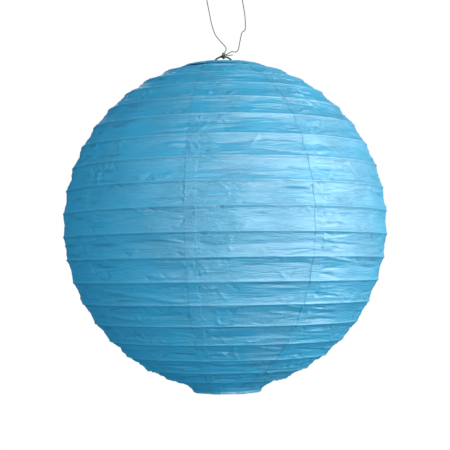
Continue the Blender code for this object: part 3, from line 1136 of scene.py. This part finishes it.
def crease_field(band, angles, down):
    """Height of the creases and their colour mark: ridges painted paler, partly wear and partly a highlight,
    valleys painted shade.
    """
    height = np.zeros_like(angles)
    crease_wear_and_shading = np.zeros_like(angles)
    for crease in band_creases[band.number]:
        reach = (crease.half_length + 3 * crease.width) / band.radius + 0.02
        near = np.abs(wrapped(angles - crease.around)) < reach
        if not near.any():
            continue
        x = wrapped(angles[near] - crease.around) * band.radius
        y = down[near] - crease.down
        along = x * math.cos(crease.turn) + y * math.sin(crease.turn)
        share = along / crease.half_length
        across = -x * math.sin(crease.turn) + y * math.cos(crease.turn)
        across += crease.bow * MM * (1 - share**2)
        fade = np.clip(1 - share**2, 0, 1) ** 1.5
        ridge = np.exp(-np.abs(across) / crease.width) * fade
        height[near] += ridge * crease.height
        # The mark paints ridges paler, partly as wear and partly as a painted highlight, and valleys darker
        # as painted shade.
        mark = ridge**2 * crease.height / FULL_MARK_HEIGHT
        crease_wear_and_shading[near] = np.where(np.abs(mark) > np.abs(crease_wear_and_shading[near]), mark, crease_wear_and_shading[near])
    return height, crease_wear_and_shading


print("creases are marked in full at", FULL_MARK_HEIGHT / MM, "mm")

# %% [markdown]
# Between two ribs the paper was folded once when the shade was packed flat, so the hollow is a
# soft fold and not a round sag. Its depth and place wander with slow waves round the shade.

# %% Height of the sag


def sag_field(band, angles, down):
    """The hollow between two ribs, a soft fold whose depth and place vary round the shade."""
    counts, phases = sag_waves[band.number]
    half = len(counts) // 2
    depth_wave = sum(np.cos(counts[:half, None, None] * angles + phases[:half, None, None])) / half
    place_wave = sum(np.cos(counts[half:, None, None] * angles + phases[half:, None, None])) / half
    share = down / band.length
    fold = 0.36 + 0.20 * band.number / len(bands) + 0.07 * place_wave
    sides = np.exp(-share / fold / SOFT_FOLD) + np.exp(-(1 - share) / (1 - fold) / SOFT_FOLD)
    hollow = -SOFT_FOLD * np.log(sides)
    depth = SAG * (band.length / FULL_BAND) ** 1.5 * (1 + SAG_SPREAD * depth_wave)
    return -depth * np.clip(hollow, 0, 1)


print("sag at most", round(SAG / MM * (1 + SAG_SPREAD), 1), "mm")

# %% Add them up


def paper_field(band, angles, down):
    """Height of the paper over the straight line between two hoops, and its crease mark."""
    height, crease_wear_and_shading = crease_field(band, angles, down)
    from_rib = np.minimum(down, band.length - down)
    quiet = np.clip(from_rib / GLUED, 0, 1)
    beside = seam_distance(angles, band.radius)
    pasted = (beside < 0) & (beside > -PASTED_STRIP)
    quiet = quiet * np.where(pasted, STIFF_SEAM, 1.0)
    hug = -HUG * (1 - np.exp(-((from_rib / HUG_WIDTH) ** 2)))
    return height * quiet + sag_field(band, angles, down) + hug, crease_wear_and_shading * np.clip(quiet + 0.2, 0, 1)


print("height field ready")

# %% [markdown]
# ## The paper, cut and pasted
#
# A gore's grid has close columns where the eye looks for detail: at the pasted edge, which
# stands a little proud of its neighbour, and at the seam where it comes down beside it. Its
# rows are close beside each rib. At both rims the paper turns round the wire and ends in a hem
# inside. Each point also carries marks that the finish reads: how sharply it is creased, how
# near it is to a lapping edge, where a shadow line is painted, to a rib and to the line under a
# rib, where shade is painted, and its place on the flat sheet.

# %% Place the grid lines
EDGE_COLUMNS = (0.0, 0.3, 0.8, 1.6, 3.2, 5.0, 6.9, 8.3, 9.3, 10.0, 10.5, 11.0, 11.7, 12.7)
FAR_COLUMNS = (-3.5, -2.0, -1.1, -0.6, -0.25, 0.2, 3.4, 6.8, 10.2)  # from the next gore's edge
MIDDLE_COLUMNS = 64


def column_offsets(number, radius):
    """Metres from a gore's seam to each of its columns, at this radius."""
    next_edge = (seam_angle(number) - seam_angle(number - 1)) % math.tau * radius - PASTED_STRIP
    near = [value * MM - PASTED_STRIP for value in EDGE_COLUMNS]
    far = [value * MM + next_edge for value in FAR_COLUMNS]
    between = np.linspace(near[-1], far[0], MIDDLE_COLUMNS + 2)[1:-1]
    return np.array([*near, *between, *far])


def row_distances(band):
    """Distances down a band of its rows, without the last, which starts the next band."""
    near = [value * MM for value in FINE_ROWS]
    count = max(1, round((band.length - 2 * near[-1]) / ROW_STEP))
    between = np.linspace(near[-1], band.length - near[-1], count + 1)[1:]
    return np.array([*near, *between, *[band.length - value for value in near[-2:0:-1]]])


print(len(column_offsets(1, 0.1)), "columns,", sum(len(row_distances(b)) for b in bands), "rows")

# %% Shape one gore
LAP_LIFT = 0.25 * MM
CURL = 0.1 * MM


def lap_lift(offset, run):
    """How far a gore stands off where it lies on its neighbour, and its curled edge."""
    ramp = np.clip((1.4 * MM - offset) / (1.4 * MM), 0, 1)
    lift = LAP_LIFT * ramp * ramp * (3 - 2 * ramp)
    loose = 0.35 + 0.65 * np.clip(np.sin(run * 61.0) * np.sin(run * 23.0 + 1.3), 0, 1)
    return lift + CURL * loose * np.exp(-np.clip(offset + PASTED_STRIP, 0, 1) / (1.1 * MM))


def band_rows(band, number, run, downs):
    """Points and marks of a band's rows on the gore that starts at this seam."""
    share = downs / band.length
    base = band.upper + (band.lower - band.upper) * share[:, None]
    lean = band.slope_upper * (1 - share[:, None]) + band.slope_lower * share[:, None]
    lean /= np.linalg.norm(lean, axis=1)[:, None]
    offsets = np.array([column_offsets(number, radius) for radius in base[:, 0]])
    angles = seam_angle(number - 1) + offsets / base[:, :1]
    down = np.repeat(downs[:, None], offsets.shape[1], axis=1)
    rise, crease_wear_and_shading = paper_field(band, angles, down)
    rise = rise + lap_lift(offsets, run + down)
    radial = base[:, :1] + lean[:, :1] * rise
    height = base[:, 1:] + lean[:, 1:] * rise
    points = np.stack([radial * np.sin(angles), -radial * np.cos(angles), height], axis=2)
    next_edge = offsets[:, -1:] - PASTED_STRIP + PAPER_OFF_WIRE
    # Painted shadow line: dark along this gore's lapping edge (cut) and beside where the next gore's edge
    # lies on it (shade).
    cut = np.exp(-np.abs(offsets + PASTED_STRIP) / (0.35 * MM))
    shade = np.exp(-np.abs(offsets - next_edge) / (0.5 * MM)) * (offsets < next_edge + 0.1 * MM)
    # rib_crest is painted paler, partly wear and partly a painted highlight; under_rib is painted shade below
    # each rib.
    marks = {
        "creased": crease_wear_and_shading,
        "edge_shadow_line": np.maximum(cut, shade),
        "rib_crest": np.exp(-((np.minimum(down, band.length - down) / (0.8 * MM)) ** 2)),
        "under_rib": np.exp(-(((down - 1.9 * MM) / (0.9 * MM)) ** 2)),
    }
    flat = np.stack([offsets, -(run + down)], axis=2)
    return points, marks, flat


print("a lap stands off by", LAP_LIFT / MM, "mm")

# %% [markdown]
# At a rim the paper goes half round the wire and then lies against its own inside.

# %% Shape the hems


def hem_rows(place, number, run, sign):
    """The paper's turn round a rim wire and its hem inside. Sign is +1 at the top rim."""
    rim = hoops[place]
    slope = outward(place)
    along = np.array((-slope[1], slope[0])) * sign
    reach = rim.wire / 2 + PAPER_OFF_WIRE
    profile, travelled = [], []
    for turn in np.linspace(0, math.pi, 7)[1:]:
        profile.append(slope * reach * math.cos(turn) + along * reach * math.sin(turn))
        travelled.append(reach * turn)
    for step in (0.25, 0.5, 0.75, 1.0):
        inward = -slope * (reach + (0.45 * MM - 2 * reach) * min(1.0, 1.6 * step) * 0.9)
        profile.append(inward - along * HEM * step)
        travelled.append(reach * math.pi + HEM * step)
    base = np.array(profile) + (rim.radius, rim.height)
    offsets = np.repeat(column_offsets(number, rim.radius)[None, :], len(base), axis=0)
    angles = seam_angle(number - 1) + offsets / rim.radius
    centre = np.array((rim.radius, rim.height))
    away = base - centre
    away /= np.linalg.norm(away, axis=1)[:, None]
    lift = np.clip(-offsets / (0.8 * MM), 0, 1) * LAP_LIFT
    radial = base[:, :1] + away[:, :1] * lift
    height = base[:, 1:] + away[:, 1:] * lift
    points = np.stack([radial * np.sin(angles), -radial * np.cos(angles), height], axis=2)
    blank = np.zeros_like(offsets)
    # Painted shadow line along the lapping edge, carried on round the hem.
    cut = np.exp(-np.abs(offsets + PASTED_STRIP) / (0.5 * MM))
    marks = {"creased": blank, "edge_shadow_line": cut, "rib_crest": blank, "under_rib": blank}
    flat_run = run + sign * np.array(travelled)[:, None] + blank
    return points, marks, np.stack([offsets, flat_run], axis=2)


print("hems are", HEM / MM, "mm deep")

# %% Put a gore's rows together


def cut_gore(number):
    """All rows of one gore from the top hem to the bottom hem."""
    stacks = []
    points, marks, flat = hem_rows(0, number, 0.0, 1)
    stacks.append((points[::-1], {k: v[::-1] for k, v in marks.items()}, flat[::-1]))
    run = 0.0
    for band in bands:
        downs = row_distances(band)
        if band.number == len(bands) - 1:
            downs = np.append(downs, band.length)
        stacks.append(band_rows(band, number, run, downs))
        run += band.length
    stacks.append(hem_rows(len(hoops) - 1, number, -run, -1))
    points = np.concatenate([stack[0] for stack in stacks])
    flat = np.concatenate([stack[2] for stack in stacks])
    names = stacks[0][1]
    marks = {name: np.concatenate([stack[1][name] for stack in stacks]) for name in names}
    return points, marks, flat


print("one gore is a grid of", cut_gore(1)[0].shape[:2])

# %% [markdown]
# Solidify gives the sheet its thickness and closes its edges, so each gore is a thin closed
# solid like the real strip. The gores are separate pieces, pasted edge over edge, and ride on
# the expander's body.

# %% Paste the gores


def paste_gore(number):
    """One gore as a thin closed sheet, with its marks and its flat place."""
    points, marks, flat = cut_gore(number)
    rows, columns = points.shape[:2]
    index = np.arange(rows * columns).reshape(rows, columns)
    corners = [index[:-1, :-1], index[1:, :-1], index[1:, 1:], index[:-1, 1:]]
    faces = np.stack([corner.ravel() for corner in corners], axis=1)
    gore = mesh_piece(f"gore_{number}", points.reshape(-1, 3), faces.tolist())
    for name, values in marks.items():
        attribute = gore.data.attributes.new(name, "FLOAT", "POINT")
        attribute.data.foreach_set("value", values.ravel().astype(np.float32))
    layer = gore.data.uv_layers.new(name="flat_sheet")
    used = np.empty(len(gore.data.loops), int)
    gore.data.loops.foreach_get("vertex_index", used)
    sheet_place = flat.reshape(-1, 2) + (0.31 * number, 0.0)
    layer.data.foreach_set("uv", sheet_place[used].ravel().astype(np.float32))
    only_selected(gore)
    wall = gore.modifiers.new("paper_thickness", "SOLIDIFY")
    wall.thickness = PAPER
    wall.offset = 0
    bpy.ops.object.modifier_apply(modifier=wall.name)
    return gore


HEM_CUT = HEM + math.pi * 1.1 * MM  # the hem and the paper's turn round the rim wire


def flat_area():
    """Area of a gore's cut, taken as the same for all eight."""
    widths = [(math.tau / GORE_COUNT * band.radius + PASTED_STRIP) * band.length for band in bands]
    hems = sum(math.tau / GORE_COUNT * rim.radius + PASTED_STRIP for rim in (top_rim, bottom_rim))
    return sum(widths) + hems * HEM_CUT


gore_flat = (
    math.tau / GORE_COUNT * (widest.radius + widest.wire) + PASTED_STRIP,
    paper_run + 2 * HEM_CUT,
)
gores = [paste_gore(number) for number in range(1, GORE_COUNT + 1)]
gore_size = " x ".join(f"{side * 1000:.0f}" for side in gore_flat)
print(f"gore cut {gore_size} mm, {flat_area() * 1e4:.0f} cm2, {len(gores[0].data.polygons)} faces")

# %% [markdown]
# ## Paper finish
#
# The paper is thin, dyed turquoise right through, and slightly waxy. It needs two shaders. One
# is the surface, blue with a broad soft shine that reads as a white veil towards the lamp. The
# other is translucent and shows the light that comes through from behind. Small crumples that
# are too fine for the mesh are a bump: level streaks, and patches of crackle. Ridges and the
# crest over each rib are painted paler, partly as wear and partly as a painted highlight.
# Valleys and the line under each rib get painted shade, and a painted shadow line runs along
# each lapping edge.

# %% Mix the paper colours
PAPER_BLUE = (0.0, 0.51, 0.76, 1)
PAPER_DEEP = (0.0, 0.45, 0.68, 1)
WEAR_AND_HIGHLIGHT_PALE = (0.24, 0.70, 0.86, 1)
PAINTED_SHADE_BLUE = (0.0, 0.13, 0.27, 1)
LIGHT_THROUGH = (0.0, 0.40, 0.95, 1)
THROUGH_SHARE = 0.12
PAPER_SHINE = 0.55
PAPER_INDEX = 2.4
PAPER_GLOSS = 1.0


def wrinkles(tree, sheet):
    """Level streaks, patches of crackle and grain, and the height of all three."""
    streak_place = stretched(tree, sheet, (34.0, 250.0, 1.0))
    streaks = {"Vector": streak_place, "Scale": 1.0, "Detail": 5.0, "Roughness": 0.55, "Distortion": 0.5}
    streak = add_node(tree, "ShaderNodeTexNoise", streaks).outputs["Fac"]
    fold = calculate(tree, "ABSOLUTE", calculate(tree, "SUBTRACT", streak, 0.5))
    fold = calculate(tree, "SUBTRACT", 1.0, calculate(tree, "MULTIPLY", fold, 9.0), clamp=True)
    warp = add_node(tree, "ShaderNodeTexNoise", {"Vector": sheet, "Scale": 60.0, "Detail": 2.0})
    shifted = add_node(tree, "ShaderNodeVectorMath", operation="MULTIPLY_ADD")
    tree.links.new(warp.outputs["Color"], shifted.inputs[0])
    shifted.inputs[1].default_value = (0.012, 0.006, 0.0)
    tree.links.new(sheet, shifted.inputs[2])
    crackle_place = stretched(tree, shifted.outputs[0], (70.0, 150.0, 1.0))
    crackle = add_node(tree, "ShaderNodeTexVoronoi", {"Vector": crackle_place}, feature="DISTANCE_TO_EDGE")
    cracked = map_range(tree, crackle.outputs["Distance"], 0.0, 0.16, 1.0, 0.0)
    patch = add_node(tree, "ShaderNodeTexNoise", {"Vector": sheet, "Scale": 17.0, "Detail": 1.0})
    cracked = calculate(tree, "MULTIPLY", cracked, map_range(tree, patch.outputs["Fac"], 0.45, 0.62))
    fine = add_node(tree, "ShaderNodeTexNoise", {"Vector": sheet, "Scale": 900.0, "Detail": 3.0})
    grain = fine.outputs["Fac"]
    height = calculate(tree, "MULTIPLY_ADD", fold, 0.55, calculate(tree, "MULTIPLY", cracked, 0.5))
    height = calculate(tree, "MULTIPLY_ADD", grain, 0.12, height)
    return fold, cracked, grain, height


print(f"translucent share of the paper's shader: {THROUGH_SHARE:.0%}")


# %% [markdown]
# The colours go on in layers. Turquoise wanders a little between two tones. Over it comes the
# paler blue of ridges and rib crests, partly wear and partly a painted highlight, and then the
# dark blue of painted shade: a painted shadow line at the lapping edges, painted shade under the
# ribs and in the valleys. The same painted dark places let less light through.

# %% Layer the colours
PAPER_MARKS = ("creased", "edge_shadow_line", "rib_crest", "under_rib")


def layer_colours(tree, sheet, fold, cracked):
    """The paper's colour, and how much painted shade is on it."""
    marks = {
        name: add_node(tree, "ShaderNodeAttribute", attribute_name=name).outputs["Fac"]
        for name in PAPER_MARKS
    }
    cloud = add_node(tree, "ShaderNodeTexNoise", {"Vector": sheet, "Scale": 14.0, "Detail": 4.0})
    colour = mix_colours(tree, map_range(tree, cloud.outputs["Fac"], 0.3, 0.7), PAPER_BLUE, PAPER_DEEP)
    # Painted highlight, partly wear: ridges, fine folds, crackle and rib crests are mixed paler.
    ridges = calculate(tree, "MULTIPLY", marks["creased"], 0.10)
    wear_and_highlight = calculate(tree, "MULTIPLY_ADD", fold, 0.01, ridges)
    wear_and_highlight = calculate(tree, "MULTIPLY_ADD", cracked, 0.02, wear_and_highlight, clamp=True)
    wear_and_highlight = calculate(tree, "MULTIPLY_ADD", marks["rib_crest"], 0.22, wear_and_highlight, clamp=True)
    colour = mix_colours(tree, wear_and_highlight, colour, WEAR_AND_HIGHLIGHT_PALE)
    # Painted shade: the shadow line at lapping edges, the line under each rib and the valleys are mixed
    # darker.
    pasted = calculate(tree, "MULTIPLY", marks["edge_shadow_line"], 0.1)
    pasted = calculate(tree, "MULTIPLY_ADD", marks["under_rib"], 0.32, pasted, clamp=True)
    valleys = calculate(tree, "MULTIPLY", marks["creased"], -0.42, clamp=True)
    pasted = calculate(tree, "ADD", pasted, valleys, clamp=True)
    return mix_colours(tree, pasted, colour, PAINTED_SHADE_BLUE), pasted


print("marks that change the paper's colour:", ", ".join(PAPER_MARKS))


# %% Make the paper


def make_paper():
    """The glossy front shader, mixed with the light that comes through."""
    material, tree = new_material("turquoise_paper")
    sheet = add_node(tree, "ShaderNodeUVMap", uv_map="flat_sheet").outputs[0]
    fold, cracked, grain, height = wrinkles(tree, sheet)
    bumps = {"Height": height, "Strength": 1.0, "Distance": 0.4 * MM}
    normal = add_node(tree, "ShaderNodeBump", bumps).outputs[0]
    colour, pasted = layer_colours(tree, sheet, fold, cracked)
    rough = calculate(tree, "MULTIPLY_ADD", grain, 0.12, PAPER_SHINE - 0.06)
    surface = {"Base Color": colour, "Roughness": rough, "Normal": normal}
    front = add_node(tree, "ShaderNodeBsdfPrincipled", surface)
    front.inputs["IOR"].default_value = PAPER_INDEX
    front.inputs["Specular IOR Level"].default_value = PAPER_GLOSS
    # Where shade is painted, less light comes through as well.
    through = mix_colours(tree, pasted, LIGHT_THROUGH, PAINTED_SHADE_BLUE)
    behind = add_node(tree, "ShaderNodeBsdfTranslucent", {"Color": through, "Normal": normal})
    shaders = {0: THROUGH_SHARE, 1: front.outputs[0], 2: behind.outputs[0]}
    mixed = add_node(tree, "ShaderNodeMixShader", shaders)
    finish_material(tree, mixed)
    return material


paper = make_paper()
for number, gore in enumerate(gores, 1):
    gore.data.materials.append(paper)
    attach(gore, "expander")
    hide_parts(f"paper_gore_{number}")
    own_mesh(gore)
print("paper dressed")
